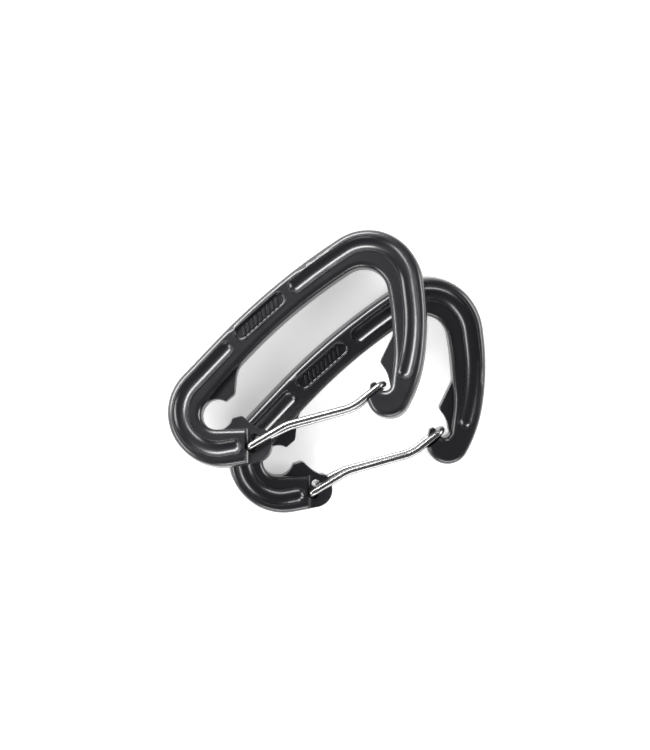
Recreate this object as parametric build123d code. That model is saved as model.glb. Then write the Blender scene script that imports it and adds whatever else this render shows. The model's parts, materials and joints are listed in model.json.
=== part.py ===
from build123d import *
import math
import os

# A pair of identical wire gate carabiners. One lies flat, the other leans on it.
# Millimetres. Each carabiner is drawn in its own frame: X runs along the spine from the
# cord pocket to the top bend, Y points from the gate to the spine, and Z = 0 is mid-thickness.

# ---------------------------------------------------------------- driving dimensions
FACE_Z = 4.1              # half thickness of the frame at its flat faces
LIP_HEIGHT = 0.2          # raised border of each channel, above the flat face
EDGE_ROUND = 1.9          # rounding along every edge of the forged beam
WEB_Z = 1.7               # half thickness of the three thin teeth
WEB_ROUND = 0.3           # rounding of the teeth's edges
TOOTH_TIP_ROUND = 0.6
TONGUE_Z = 1.25           # half thickness of the hook that the gate wire straddles
TONGUE_ROUND = 0.3
PAD_Z = 1.85              # half thickness of the foot where the gate wire sits
PAD_COVE = 1.8            # radius of the cove between flat face and pad
PAD_START = 3.4           # from the foot channel's end centre to the start of the pad
PAD_BLOCK = (20.0, 40.0, 8.0)   # block that cuts a pad, wider than the end of the foot
SHOULDER_Y = -28.35       # height at which the gate wire rests on the nose
SHOULDER_X = (36.0, 47.5)
SHOULDER_BLOCK = 8.0      # depth and height of the block that cuts a shoulder

POCKET = (0.3, 0.1)       # round cord pocket beside the foot
POCKET_R = 5.0
SPINE_LINE_ANGLE = 9.7    # the two straight edges that leave the pocket, in degrees
SPINE_LINE_LENGTH = 25.9
FOOT_LINE_ANGLE = -38.7
FOOT_LINE_LENGTH = 27.2

CHANNEL_HALF = 2.2        # half width of a channel inside its lip
SCOOP_HALF = 2.1          # half width of the round hollow in a channel
SCOOP_DEPTH = 0.9
PANEL_DEPTH = 0.8
PANEL_COVE = 0.7          # rounding between the panel's floor and its wall
LIP_WIDTH = 0.5
LIP_ROUND = 0.12

PANEL_CENTRE = (31.2, 15.3)     # ornament panel on the spine
PANEL_ANGLE = 1.8
PANEL_LENGTH = 20.6
RIB_COUNT = 9
RIB_PITCH = 1.75
RIB_WIDTH = 0.75
RIB_LENGTH = 3.0
RIB_SLANT = 62.0
RIB_HEIGHT = 0.6
RIB_ROOT = 0.1            # how far a rib starts below the floor it stands on

WIRE_R = 1.1              # stainless gate wire
WIRE_BEND = 1.3           # bend of the wire into its holes
FRONT_END = (1.5, -15.0)  # where the two wire ends enter the foot
REAR_END = (5.4, -14.84)
FRONT_END_Z = 0.3
REAR_END_Z = 1.95
LEG_Z = 3.1               # height of the wire legs beside the foot
LOOP_Z = 2.6              # height of the wire beside the nose
LOOP_BEND = 2.55
HOLE_CLEARANCE = 0.12
GATE_OPENING = 43.0       # degrees from closed to fully open
HOLE_SPARE_ANGLE = 1.0
HOLE_FLOOR_Z = 0.1        # the front wire end's hole is blind

ROW_TURN = 40.0           # both carabiners lie turned by this much
TILT = 20.3               # the upper one leans by this much
UPPER_SHIFT = (-5.26, 25.15)    # its pocket from the lower one's, before that turn
UPPER_LIFT = 10.345       # height of its pocket's centre

# Outer edge of the beam, from the nose round the arm, top bend and spine to the foot:
# corners of a polygon, each with the radius that rounds it.
OUTER_EDGE = [
    ((34.6, -43.6), 6.9),
    ((56.8, -34.8), 45.0),
    ((71.7, -21.3), 86.0),
    ((82.0, -5.0), 20.4),
    ((82.4, 16.7), 17.4),
    ((40.8, 21.7), 220.0),
    ((-16.2, 15.2), 17.2),
    ((-15.1, -11.1), 17.8),
    ((6.4, -23.5), 5.6),
]
# Inner edge of the beam, from the spine to the end of the nose.
INNER_EDGE = [
    ((40.5, 10.7), 175.0),
    ((69.6, 7.2), 8.1),
    ((69.6, -2.3), 8.1),
    ((65.8, -9.3), 84.0),
    ((56.3, -22.5), 30.0),
    ((46.9, -31.5), 1.9),
    ((45.4, -26.0), 2.6),
    ((40.8, -26.6), 2.6),
]
SPINE_KNEE_R = 60.0
FOOT_CORNER_R = 2.6

# Centre lines of the two recessed channels.
ARM_CHANNEL = [
    ((55.6, -29.1), 0.0),
    ((65.8, -22.0), 60.0),
    ((77.4, -3.6), 15.7),
    ((77.7, 12.6), 12.7),
    ((57.0, 15.1), 180.0),
    ((46.6, 15.4), 0.0),
]
FOOT_CHANNEL = [
    ((16.0, 14.2), 0.0),
    ((-11.4, 11.1), 12.3),
    ((-10.6, -7.2), 11.9),
    ((-2.1, -12.1), 0.0),
]

SPINE_TOOTH = [
    ((-2.0, 9.0), 0.0), ((26.0, 9.6), 0.0), ((14.6, 7.4), 9.0),
    ((8.9, 1.7), 2.2), ((3.0, 1.7), 0.0), ((0.0, 4.0), 0.0),
]
FOOT_TOOTH = [
    ((-1.0, -3.0), 0.0), ((2.4, -3.55), 0.0), ((6.3, -5.3), 1.6),
    ((6.9, -11.0), 12.0), ((9.4, -14.6), 0.0), ((4.0, -13.0), 0.0), ((-3.0, -7.0), 0.0),
]
ARM_TOOTH = [
    ((65.0, -13.0), 0.0), ((60.2, -16.9), 8.0), ((51.4, -20.9), 1.5),
    ((51.0, -25.2), 8.0), ((48.8, -29.6), 0.0), ((56.0, -28.0), 0.0),
]
TONGUE = [
    ((40.6, -31.5), 0.0), ((40.2, -28.3), 5.0), ((44.6, -24.3), 0.85),
    ((46.3, -24.8), 0.75), ((45.5, -29.5), 0.0), ((44.5, -31.5), 0.0),
]


def rounded_path(corners):
    """Open line through the corners, each rounded by its own radius."""
    points = [point for point, radius in corners]
    radii = [radius for point, radius in corners[1:-1]]
    if not radii:
        return Wire([Edge.make_line(*points)])
    return Wire(FilletPolyline(*points, radius=radii).edges())


def rounded_face(corners):
    """Face of a closed polygon whose corners are rounded, each by its own radius."""
    points = [point for point, radius in corners]
    radii = [radius for point, radius in corners]
    return make_face(FilletPolyline(*points, radius=radii, close=True))


def slab(face, half_height):
    """Solid that stands as far above mid-thickness as below it."""
    return extrude(Pos(0, 0, -half_height) * face, 2 * half_height, dir=(0, 0, 1))


def edges_at(solid, *heights):
    return [e for e in solid.edges() if any(abs(e.center().Z - z) < 0.001 for z in heights)]


def step_from(point, angle, length):
    turn = math.radians(angle)
    return (point[0] + length * math.cos(turn), point[1] + length * math.sin(turn))


# ---------------------------------------------------------------- the forged frame
def beam():
    """The C-shaped beam, from the foot round the spine and arm to the nose."""
    middle = (SPINE_LINE_ANGLE + FOOT_LINE_ANGLE) / 2
    half_angle = math.radians(SPINE_LINE_ANGLE - FOOT_LINE_ANGLE) / 2
    pocket_corner = step_from(POCKET, middle, -POCKET_R / math.sin(half_angle))
    foot_corner = step_from(pocket_corner, FOOT_LINE_ANGLE, FOOT_LINE_LENGTH)
    spine_knee = step_from(pocket_corner, SPINE_LINE_ANGLE, SPINE_LINE_LENGTH)
    foot_end = [(foot_corner, FOOT_CORNER_R), (pocket_corner, POCKET_R), (spine_knee, SPINE_KNEE_R)]
    solid = slab(rounded_face(OUTER_EDGE + foot_end + INNER_EDGE), FACE_Z)
    return fillet(edges_at(solid, -FACE_Z, FACE_Z), EDGE_ROUND)


def pocket_tooth(corners):
    """Thin tooth that narrows the mouth of the cord pocket."""
    face = rounded_face(corners) - Pos(*POCKET) * Circle(POCKET_R)
    tip = face.vertices().sort_by(Axis.X)
    tip = [v for v in tip if abs((v.center() - Vector(*POCKET)).length - POCKET_R) < 0.001][-1]
    solid = slab(fillet(tip, TOOTH_TIP_ROUND), WEB_Z)
    return fillet(edges_at(solid, -WEB_Z, WEB_Z), WEB_ROUND)


def arm_tooth():
    """Thin tooth on the arm, above the notch that the gate closes into."""
    solid = slab(rounded_face(ARM_TOOTH), WEB_Z)
    return fillet(edges_at(solid, -WEB_Z, WEB_Z), WEB_ROUND)


def tongue():
    """Thin hook at the nose that the gate wire closes over."""
    solid = slab(rounded_face(TONGUE), TONGUE_Z)
    return fillet(edges_at(solid, -TONGUE_Z, TONGUE_Z), TONGUE_ROUND)


def beside(corners, gap):
    """Corners of the line that runs parallel to this one, a gap to its left."""
    points = [Vector(*point) for point, radius in corners]
    headings = [(b - a).normalized() for a, b in zip(points, points[1:])]
    lefts = [Vector(-h.Y, h.X) for h in headings]
    shifted = [(points[0] + lefts[0] * gap, 0.0)]
    for index in range(1, len(points) - 1):
        before, after = lefts[index - 1], lefts[index]
        corner = points[index] + (before + after) * (gap / (1 + before.dot(after)))
        turns_left = math.copysign(1, before.cross(after).Z)
        shifted.append((corner, corners[index][1] - turns_left * gap))
    return shifted + [(points[-1] + lefts[-1] * gap, 0.0)]


def strip(corners, half_width):
    """Face of constant width along a line, with round ends."""
    left = rounded_path(beside(corners, half_width))
    right = rounded_path(beside(corners, -half_width))
    first = Vector(*corners[0][0]) - (left % 0) * half_width
    last = Vector(*corners[-1][0]) + (left % 1) * half_width
    ends = [ThreePointArc(left @ 0, first, right @ 0), ThreePointArc(left @ 1, last, right @ 1)]
    return make_face(left.edges() + right.edges() + ends)


def panel_line():
    half = PANEL_LENGTH / 2 - CHANNEL_HALF
    return [(step_from(PANEL_CENTRE, PANEL_ANGLE, side * half), 0.0) for side in (-1, 1)]


def channel_lines():
    """Centre lines of the two recessed channels and of the ornament panel."""
    return [ARM_CHANNEL, FOOT_CHANNEL, panel_line()]


def lip(centre_line):
    """Raised border round a channel, on the upper face."""
    ring = strip(centre_line, CHANNEL_HALF + LIP_WIDTH) - strip(centre_line, CHANNEL_HALF)
    solid = extrude(Pos(0, 0, FACE_Z - LIP_HEIGHT) * ring, 2 * LIP_HEIGHT)
    return fillet(edges_at(solid, FACE_Z + LIP_HEIGHT), LIP_ROUND)


def scoops(centre_line):
    """What a channel removes from the upper face: a round hollow with round ends."""
    radius = (SCOOP_HALF ** 2 + SCOOP_DEPTH ** 2) / (2 * SCOOP_DEPTH)
    path = Pos(0, 0, FACE_Z - SCOOP_DEPTH + radius) * rounded_path(centre_line)
    hollow = sweep(Plane(origin=path @ 0, z_dir=path % 0) * Circle(radius), path)
    return [hollow, Pos(path @ 0) * Sphere(radius), Pos(path @ 1) * Sphere(radius)]


def panel_cutter():
    """What the ornament panel removes: a floor that curves up into its walls."""
    floor = FACE_Z - PANEL_DEPTH
    solid = extrude(Pos(0, 0, floor) * strip(panel_line(), CHANNEL_HALF), 2 * PANEL_DEPTH)
    return fillet(edges_at(solid, floor), PANEL_COVE)


def ribs():
    """Plain slanted ribs in the ornament panel, on the upper face."""
    solids = []
    for index in range(RIB_COUNT):
        offset = (index - (RIB_COUNT - 1) / 2) * RIB_PITCH
        centre = step_from(PANEL_CENTRE, PANEL_ANGLE, offset)
        shape = Pos(*centre) * Rot(0, 0, RIB_SLANT) * SlotOverall(RIB_LENGTH, RIB_WIDTH)
        bottom = FACE_Z - PANEL_DEPTH - RIB_ROOT
        top = FACE_Z - PANEL_DEPTH + RIB_HEIGHT
        solid = extrude(Pos(0, 0, bottom) * shape, top - bottom)
        solids.append(fillet(edges_at(solid, top), LIP_ROUND))
    return solids


def pad_cutter():
    """What thins the foot on its upper side, where a leg of the gate wire sits."""
    start = step_from(FOOT_CHANNEL[-1][0], FOOT_LINE_ANGLE, PAD_START)
    block = Box(*PAD_BLOCK, align=(Align.MIN, Align.CENTER, Align.MIN))
    block = Pos(*start, PAD_Z) * Rot(0, 0, FOOT_LINE_ANGLE) * block
    bottom_edges = ShapeList(edges_at(block, PAD_Z))
    return fillet(bottom_edges.sort_by_distance((*start, PAD_Z))[0], PAD_COVE)


def shoulder_cutter():
    """What leaves only the thin tongue above the shoulder, on the upper side of the nose."""
    size = (SHOULDER_X[1] - SHOULDER_X[0], SHOULDER_BLOCK, SHOULDER_BLOCK)
    block = Box(*size, align=(Align.MIN, Align.MIN, Align.MIN))
    return Pos(SHOULDER_X[0], SHOULDER_Y, TONGUE_Z) * block


def hole(wire_end, bottom, top):
    """Short curved hole, concentric with the gate's turning axis, that one wire end moves in."""
    axis = hinge_point()
    radius = math.dist(wire_end, axis)
    angle = math.degrees(math.atan2(wire_end[1] - axis[1], wire_end[0] - axis[0]))
    arc = CenterArc(axis, radius, angle - HOLE_SPARE_ANGLE, GATE_OPENING + 2 * HOLE_SPARE_ANGLE)
    return extrude(Pos(0, 0, bottom) * SlotArc(arc, 2 * (WIRE_R + HOLE_CLEARANCE)), top - bottom)


def frame():
    upper_features = [pad_cutter(), shoulder_cutter(), panel_cutter()]
    upper_features += scoops(ARM_CHANNEL) + scoops(FOOT_CHANNEL)
    raised = [lip(line) for line in channel_lines()] + ribs()
    solid = beam() + pocket_tooth(SPINE_TOOTH) + pocket_tooth(FOOT_TOOTH) + arm_tooth()
    solid = solid - upper_features - [mirror(f, Plane.XY) for f in upper_features]
    solid = solid + raised + [mirror(r, Plane.XY) for r in raised] + tongue()
    return solid - hole(FRONT_END, HOLE_FLOOR_Z, FACE_Z) - hole(REAR_END, -FACE_Z, FACE_Z)


# ---------------------------------------------------------------- the gate wire
def hinge_point():
    """The gate turns about the point midway between its two ends."""
    return ((FRONT_END[0] + REAR_END[0]) / 2, (FRONT_END[1] + REAR_END[1]) / 2)


def gate():
    """One bent wire: in at the front of the foot, round the nose, and back to the rear."""
    corners = [
        ((*FRONT_END, FRONT_END_Z), 0.0),
        ((*FRONT_END, LEG_Z), WIRE_BEND),
        ((15.3, -17.3, LEG_Z), 12.0),
        ((35.3, -26.7, LOOP_Z), 14.0),
        ((47.6, -27.1, LOOP_Z), LOOP_BEND),
        ((47.6, -27.1, -LOOP_Z), LOOP_BEND),
        ((35.3, -26.7, -LOOP_Z), 14.0),
        ((15.3, -17.3, -LEG_Z), 12.0),
        ((*REAR_END, -LEG_Z), WIRE_BEND),
        ((*REAR_END, REAR_END_Z), 0.0),
    ]
    path = rounded_path(corners)
    section = Plane(origin=path @ 0, z_dir=path % 0) * Circle(WIRE_R)
    return sweep(section, path)


# ---------------------------------------------------------------- the pair as it lies
def lie_flat(solid):
    """The lower carabiner: flat, on the lips of its channels."""
    return Rot(0, 0, ROW_TURN) * Pos(0, 0, FACE_Z + LIP_HEIGHT) * solid


def lean(solid):
    """The upper carabiner: spine edge on the ground, foot and arm on the lower one's spine."""
    return Rot(0, 0, ROW_TURN) * Pos(*UPPER_SHIFT, UPPER_LIFT) * Rot(-TILT, 0, 0) * solid


FRAME = frame()
GATE = gate()
NODES = {
    "lower_frame": lie_flat(FRAME),
    "lower_gate": lie_flat(GATE),
    "upper_frame": lean(FRAME),
    "upper_gate": lean(GATE),
}
middle = Compound(list(NODES.values())).bounding_box().center()
os.makedirs("parts", exist_ok=True)
for name, solid in NODES.items():
    export_step(Pos(-middle.X, -middle.Y, 0) * solid, "parts/" + name + ".step")
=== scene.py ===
import json
import math

import bpy
from mathutils import Matrix, Vector


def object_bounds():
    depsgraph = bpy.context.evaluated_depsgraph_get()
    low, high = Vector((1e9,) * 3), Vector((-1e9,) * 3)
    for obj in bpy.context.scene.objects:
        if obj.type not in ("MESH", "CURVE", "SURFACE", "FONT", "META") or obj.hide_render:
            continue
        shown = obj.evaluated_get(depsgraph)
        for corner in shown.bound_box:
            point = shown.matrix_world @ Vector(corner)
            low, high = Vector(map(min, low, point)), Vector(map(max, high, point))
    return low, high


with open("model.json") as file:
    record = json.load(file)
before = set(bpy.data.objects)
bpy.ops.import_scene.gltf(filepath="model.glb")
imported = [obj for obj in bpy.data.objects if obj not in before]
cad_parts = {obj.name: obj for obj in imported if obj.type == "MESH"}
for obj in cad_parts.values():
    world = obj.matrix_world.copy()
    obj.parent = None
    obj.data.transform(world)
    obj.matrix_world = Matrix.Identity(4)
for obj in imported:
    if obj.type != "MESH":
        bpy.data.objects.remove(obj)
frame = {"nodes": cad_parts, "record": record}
cad_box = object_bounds()

# A pair of wire gate carabiners on a white table, seen from above. Metres.
FRAMES = ("lower_frame", "upper_frame")
GATES = ("lower_gate", "upper_gate")
MOUNTS = {mount["name"]: mount for mount in frame["record"]["mounts"]}
POCKET = Vector(MOUNTS["lower_cord_pocket"]["pos_m"])
UPPER_NORMAL = Vector(MOUNTS["upper_cord_pocket"]["axis"])

VIEW_DISTANCE = 1.3
VIEW_HEIGHT = 0.2444         # of the picture, at the carabiners
VIEW_RIGHT = 0.0154          # the picture's centre, from the lower cord pocket
VIEW_UP = 0.0277
SENSOR = 36.0                # millimetres, along the picture's height

FLOOR_SIZE = 6.0
FLOOR_DROP = 0.0002          # the floor lies just under the lowest lips
FLOOR_COLOUR = (0.93, 0.93, 0.93, 1.0)
FLOOR_ROUGHNESS = 0.7
FLOOR_GLOW = 0.45            # a light table, so that shadows on it stay faint
LIGHT_DISTANCE = 1.3
# Each light: heading from +X towards +Y and height above the table, in degrees, size, and watts.
LIGHTS = {
    "key": (130, 22, (1.7, 0.45), 46.0),
    "right": (15, 26, (0.9, 0.45), 12.0),
    "front": (-80, 25, (1.2, 0.4), 12.0),
    "left": (195, 25, (0.8, 0.4), 9.0),
}
WORLD_COLOUR = (0.95, 0.97, 1.0, 1.0)
WORLD_STRENGTH = 0.15

# Noises are given in waves to a millimetre, and ranges as (low, high).
PER_MILLIMETRE = 1000.0      # noise scale that puts one wave on each millimetre
NOISE_RANGE = (0.3, 0.7)     # where most values of a noise lie
NO_STRETCH = (1.0, 1.0, 1.0)
WHITE = (1.0, 1.0, 1.0, 1.0)
BUMP_DEPTH = 0.00003

BLACK = (0.007, 0.007, 0.009, 1.0)
WORN_BLACK = (0.022, 0.0225, 0.026, 1.0)
BLACK_CLOUD = 0.12
BLACK_GRAIN = 3.0
BLACK_ROUGHNESS = (0.27, 0.33)
BLACK_IOR = 1.6
COAT_WEIGHT = 0.25
COAT_ROUGHNESS = 0.14
GRAIN_STRENGTH = 0.12
EDGE_POINTINESS = (0.54, 0.64)
EDGE_WEAR = (0.0, 0.7)
PATCHY_WEAR = (0.4, 1.0)     # share of the wear that each patch keeps

STEEL = (0.36, 0.36, 0.355, 1.0)
DARK_STEEL = (0.22, 0.22, 0.217, 1.0)
STEEL_CLOUD = 0.25
STEEL_CLOUD_RANGE = (0.35, 0.75)
STEEL_DARKENING = (0.0, 0.6)
STEEL_ROUGHNESS = (0.2, 0.36)
STEEL_LINES = 6.0
LINE_STRETCH = (0.15, 1.0, 1.0)    # long along +X, which is within 25 degrees of both gates
LINE_TURN = -18.0                  # degrees about +Z, after the stretch
LINE_STRENGTH = 0.3


# ---------------------------------------------------------------- materials
def new_material(name):
    material = bpy.data.materials.new(name)
    material.use_nodes = True
    shader = material.node_tree.nodes["Principled BSDF"]
    return material, material.node_tree, shader


def node(tree, kind, **settings):
    made = tree.nodes.new(kind)
    for key, value in settings.items():
        setattr(made, key, value)
    return made


def object_points(tree, stretch=NO_STRETCH, turn=0.0):
    """Points of the object, scaled along its axes and then turned about +Z."""
    place = node(tree, "ShaderNodeTexCoord")
    mapping = node(tree, "ShaderNodeMapping")
    mapping.inputs["Scale"].default_value = stretch
    mapping.inputs["Rotation"].default_value = (0.0, 0.0, turn)
    tree.links.new(place.outputs["Object"], mapping.inputs["Vector"])
    return mapping.outputs["Vector"]


def noise(tree, points, waves, detail, roughness):
    made = node(tree, "ShaderNodeTexNoise")
    made.inputs["Scale"].default_value = waves * PER_MILLIMETRE
    made.inputs["Detail"].default_value = detail
    made.inputs["Roughness"].default_value = roughness
    tree.links.new(points, made.inputs["Vector"])
    return made.outputs["Fac"]


def spread(tree, value, old_range, new_range):
    """Maps a value from one range to another, and keeps it inside."""
    made = node(tree, "ShaderNodeMapRange")
    made.inputs["From Min"].default_value, made.inputs["From Max"].default_value = old_range
    made.inputs["To Min"].default_value, made.inputs["To Max"].default_value = new_range
    tree.links.new(value, made.inputs["Value"])
    return made.outputs["Result"]


def mix(tree, factor, first, second):
    made = node(tree, "ShaderNodeMix", data_type="RGBA")
    made.inputs["A"].default_value = first
    made.inputs["B"].default_value = second
    tree.links.new(factor, made.inputs["Factor"])
    return made.outputs["Result"]


def bump(tree, shader, height, strength):
    made = node(tree, "ShaderNodeBump")
    made.inputs["Distance"].default_value = BUMP_DEPTH
    made.inputs["Strength"].default_value = strength
    tree.links.new(height, made.inputs["Height"])
    tree.links.new(made.outputs["Normal"], shader.inputs["Normal"])


def anodised_black():
    """Smooth, black anodised aluminium, rubbed a little lighter along its raised edges."""
    material, tree, shader = new_material("anodised_black")
    points = object_points(tree)
    cloud = noise(tree, points, BLACK_CLOUD, detail=5.0, roughness=0.6)
    grain = noise(tree, points, BLACK_GRAIN, detail=3.0, roughness=0.6)
    shape = node(tree, "ShaderNodeNewGeometry")
    edge = spread(tree, shape.outputs["Pointiness"], EDGE_POINTINESS, EDGE_WEAR)
    worn = node(tree, "ShaderNodeMath", operation="MULTIPLY")
    tree.links.new(edge, worn.inputs[0])
    tree.links.new(spread(tree, cloud, NOISE_RANGE, PATCHY_WEAR), worn.inputs[1])
    tree.links.new(mix(tree, worn.outputs[0], BLACK, WORN_BLACK), shader.inputs["Base Color"])
    tree.links.new(spread(tree, cloud, NOISE_RANGE, BLACK_ROUGHNESS), shader.inputs["Roughness"])
    shader.inputs["IOR"].default_value = BLACK_IOR
    shader.inputs["Coat Weight"].default_value = COAT_WEIGHT
    shader.inputs["Coat Roughness"].default_value = COAT_ROUGHNESS
    bump(tree, shader, grain, GRAIN_STRENGTH)
    return material


def drawn_steel():
    """Bright stainless wire, with faint lines from drawing."""
    material, tree, shader = new_material("drawn_steel")
    stretched = object_points(tree, LINE_STRETCH, math.radians(LINE_TURN))
    lines = noise(tree, stretched, STEEL_LINES, detail=3.0, roughness=0.7)
    cloud = noise(tree, object_points(tree), STEEL_CLOUD, detail=4.0, roughness=0.6)
    darker = spread(tree, cloud, STEEL_CLOUD_RANGE, STEEL_DARKENING)
    tree.links.new(mix(tree, darker, STEEL, DARK_STEEL), shader.inputs["Base Color"])
    tree.links.new(spread(tree, lines, NOISE_RANGE, STEEL_ROUGHNESS), shader.inputs["Roughness"])
    shader.inputs["Metallic"].default_value = 1.0
    bump(tree, shader, lines, LINE_STRENGTH)
    return material


def paint(name, material):
    mesh = frame["nodes"][name].data
    if not mesh.materials:
        mesh.materials.append(material)
    for slot_index in range(len(mesh.materials)):
        mesh.materials[slot_index] = material


black = anodised_black()
steel = drawn_steel()
for frame_name in FRAMES:
    paint(frame_name, black)
for gate_name in GATES:
    paint(gate_name, steel)


# ---------------------------------------------------------------- table, light and camera
def table():
    size = FLOOR_SIZE / 2
    corners = [(-size, -size, 0), (size, -size, 0), (size, size, 0), (-size, size, 0)]
    mesh = bpy.data.meshes.new("floor")
    mesh.from_pydata(corners, [], [(0, 1, 2, 3)])
    floor = bpy.data.objects.new("floor", mesh)
    floor.location.z = cad_box[0][2] - FLOOR_DROP
    bpy.context.scene.collection.objects.link(floor)
    material, _, shader = new_material("floor_white")
    shader.inputs["Base Color"].default_value = FLOOR_COLOUR
    shader.inputs["Roughness"].default_value = FLOOR_ROUGHNESS
    shader.inputs["Emission Color"].default_value = WHITE
    shader.inputs["Emission Strength"].default_value = FLOOR_GLOW
    mesh.materials.append(material)


def softbox(name, target, heading, height, size, watts):
    """A soft rectangular light that faces the target."""
    turn, rise = math.radians(heading), math.radians(height)
    outwards = Vector((math.cos(turn) * math.cos(rise), math.sin(turn) * math.cos(rise), math.sin(rise)))
    light = bpy.data.lights.new(name, "AREA")
    light.shape = "RECTANGLE"
    light.size, light.size_y = size
    light.energy = watts
    box = bpy.data.objects.new(name, light)
    box.location = target + outwards * LIGHT_DISTANCE
    box.rotation_euler = (-outwards).to_track_quat("-Z", "Y").to_euler()
    bpy.context.scene.collection.objects.link(box)


def studio(target):
    """Low soft lights, so that the carabiners' flat faces stay dark and their rounded edges shine."""
    for name, (heading, height, size, watts) in LIGHTS.items():
        softbox(name, target, heading, height, size, watts)
    world = bpy.data.worlds.new("studio")
    world.use_nodes = True
    background = world.node_tree.nodes["Background"]
    background.inputs["Color"].default_value = WORLD_COLOUR
    background.inputs["Strength"].default_value = WORLD_STRENGTH
    bpy.context.scene.world = world
    bpy.context.scene.view_settings.view_transform = "Standard"


def camera():
    """Looks down, leaning half as far as the upper carabiner does. Returns what it looks at."""
    backwards = (Vector((0, 0, 1)) + UPPER_NORMAL).normalized()
    spine = Vector((UPPER_NORMAL.y, -UPPER_NORMAL.x, 0)).normalized()
    across = backwards.cross(spine)
    turn = math.atan2(spine.y, spine.x)
    right = spine * math.cos(turn) - across * math.sin(turn)
    up = spine * math.sin(turn) + across * math.cos(turn)
    target = POCKET + right * VIEW_RIGHT + up * VIEW_UP
    lens = bpy.data.cameras.new("camera")
    lens.lens = SENSOR * VIEW_DISTANCE / VIEW_HEIGHT
    lens.sensor_width = SENSOR
    seen_from = bpy.data.objects.new("camera", lens)
    turned = Matrix((right, up, backwards)).transposed().to_4x4()
    seen_from.matrix_world = Matrix.Translation(target + backwards * VIEW_DISTANCE) @ turned
    bpy.context.scene.collection.objects.link(seen_from)
    bpy.context.scene.camera = seen_from
    return target


table()
studio(camera())
